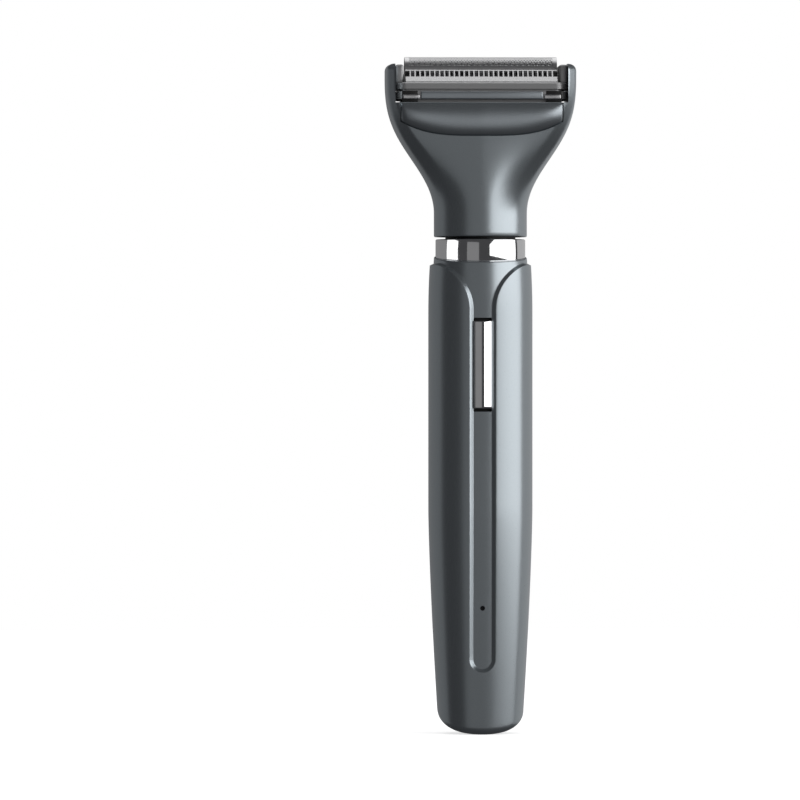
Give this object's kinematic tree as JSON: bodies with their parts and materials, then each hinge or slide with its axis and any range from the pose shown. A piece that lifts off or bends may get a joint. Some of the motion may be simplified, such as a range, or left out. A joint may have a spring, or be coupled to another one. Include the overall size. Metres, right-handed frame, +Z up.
{
  "type": "cordless body shaver",
  "caption": "Cordless body shaver: a tapered grip with a press bar, a chrome ring and a pull-off foil head with side combs.",
  "frame": {"origin": "under the grip's middle, level with the lowest point of the slanted base", "axes": "+Z up the grip towards the head, -Y out of the front with the press bar, +X to the right seen from the front"},
  "size_m": [0.0473, 0.0279, 0.1657],
  "materials": {
    "shell_metallic": "satin metallic grey",
    "bright_chrome": "polished",
    "brushed_bright": "brushed",
    "foil_steel": "fine satin",
    "dark_plastic": "fine matte",
    "grey_plastic": "matte",
    "natural_plastic": "matte",
    "guard_metallic": "satin metallic grey",
    "seal_rubber": "matte",
    "steel": "machined",
    "copper": "wound copper",
    "contact_brass": "plated",
    "board_green": "solder mask",
    "chip_black": "moulded",
    "cell_wrap": "shrink wrap",
    "lamp_clear": "clear moulded",
    "lead_red": "insulated",
    "lead_black": "insulated"
  },
  "bodies": {
    "handle": {"grip_shell": "shell_metallic", "charging_socket": "steel", "socket_tongue": "chip_black", "socket_gasket": "seal_rubber", "socket_board": "board_green", "chrome_ring": "bright_chrome", "collar": "dark_plastic", "collar_seal": "seal_rubber", "spigot_seal": "seal_rubber", "shaft_seal": "seal_rubber", "motor_can": "steel", "motor_end_bell": "dark_plastic", "motor_magnets": "chip_black", "motor_terminals": "contact_brass", "motor_screws": "steel", "bar_gasket": "seal_rubber", "switch_body": "steel", "circuit_board": "board_green", "board_screws": "steel", "board_carrier": "dark_plastic", "board_chips": "chip_black", "lamp_chip": "natural_plastic", "lamp_window": "lamp_clear", "cell": "cell_wrap", "cell_tabs": "steel", "chassis": "dark_plastic", "red_leads": "lead_red", "black_leads": "lead_black"},
    "power_button": {"press_bar": "bright_chrome", "bar_stem": "dark_plastic", "switch_plunger": "chip_black"},
    "motor_rotor": {"motor_shaft": "steel", "armature": "copper", "cam": "natural_plastic"},
    "head": {"head_shell": "shell_metallic", "front_guard": "guard_metallic", "rear_guard": "guard_metallic", "coupler": "dark_plastic", "pivot_pin": "steel", "deck": "dark_plastic", "deck_screws": "steel"},
    "drive_lever": {"drive_lever": "natural_plastic"},
    "cutter_carriage": {"carriage": "natural_plastic", "front_trimmer_blade": "steel", "rear_trimmer_blade": "steel", "block_springs": "steel"},
    "blade_block": {"blade_carrier": "dark_plastic", "inner_blades": "steel"},
    "foil_cartridge": {"cartridge_frame": "grey_plastic", "foil": "foil_steel", "front_comb": "brushed_bright", "rear_comb": "brushed_bright", "end_caps": "grey_plastic", "front_trim_bar": "guard_metallic", "rear_trim_bar": "guard_metallic", "trim_tabs": "brushed_bright"}
  },
  "joints": [
    {"name": "power_button_press", "type": "slide", "parent": "handle", "child": "power_button", "axis": [0, 1, 0], "range_m": [0, 0.0006], "stiffness_N_per_m": 1200, "springref_m": -0.0004},
    {"name": "motor_spin", "type": "hinge", "parent": "handle", "child": "motor_rotor", "pos_m": [0, 0, 0.105], "axis": [0, 0, 1], "continuous": true},
    {"name": "head_release", "type": "slide", "parent": "handle", "child": "head", "axis": [0, 0, 1], "range_m": [0, 0.02]},
    {"name": "drive_lever_swing", "type": "hinge", "parent": "head", "child": "drive_lever", "pos_m": [0, 0, 0.1355], "axis": [0, 1, 0], "range_deg": [-3.41, 3.41]},
    {"name": "cutter_slide", "type": "slide", "parent": "head", "child": "cutter_carriage", "axis": [1, 0, 0], "range_m": [-0.00087, 0.00087]},
    {"name": "blade_float", "type": "slide", "parent": "cutter_carriage", "child": "blade_block", "axis": [0, 0, 1], "range_m": [-0.0008, 0], "stiffness_N_per_m": 200, "springref_m": 0.0015, "deforming": ["block_springs"]},
    {"name": "foil_cartridge_release", "type": "slide", "parent": "head", "child": "foil_cartridge", "axis": [0, 0, 1], "range_m": [0, 0.012]}
  ],
  "couplings": [
    {"joint": "drive_lever_swing", "follows": "cutter_slide", "rad_per_m": 68.493}
  ]
}
